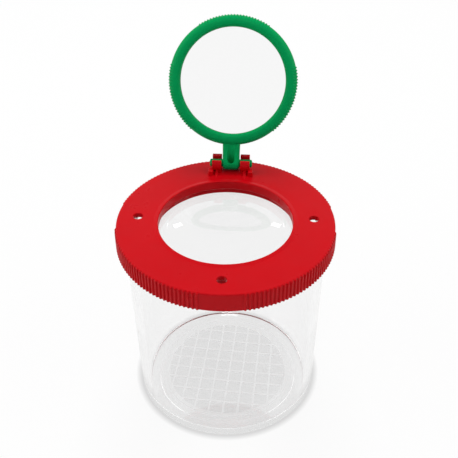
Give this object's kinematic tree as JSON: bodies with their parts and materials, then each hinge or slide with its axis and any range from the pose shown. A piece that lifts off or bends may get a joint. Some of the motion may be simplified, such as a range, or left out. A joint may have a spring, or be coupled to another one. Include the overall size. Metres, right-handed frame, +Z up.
{
  "type": "bug catcher jar",
  "caption": "Clear round beaker with a gridded floor, a vented push-on lid holding a viewing lens, and a flip-up magnifier on a snap hinge, for catching and looking at insects.",
  "frame": {"origin": "middle of the surface that the jar stands on", "axes": "+Z up along the jar's axis, hinge of the magnifier at +Y, front at -Y"},
  "size_m": [0.072, 0.0912, 0.1189],
  "materials": {
    "clear_jar": "clear moulded polystyrene, polished",
    "red_plastic": "satin moulded",
    "green_plastic": "satin moulded",
    "clear_lens": "clear, optically polished"
  },
  "bodies": {
    "jar": {"jar": "clear_jar"},
    "lid": {"lid": "red_plastic", "lid_lens": "clear_lens"},
    "magnifier": {"magnifier_frame": "green_plastic", "magnifier_lens": "clear_lens"}
  },
  "joints": [
    {"name": "lid_lift", "type": "slide", "parent": "jar", "child": "lid", "axis": [0, 0, 1], "range_m": [0, 0.08]},
    {"name": "magnifier_flip", "type": "hinge", "parent": "lid", "child": "magnifier", "pos_m": [0, 0.03, 0.0727], "axis": [-1, 0, 0], "range_deg": [-117.5, 62.5]}
  ]
}
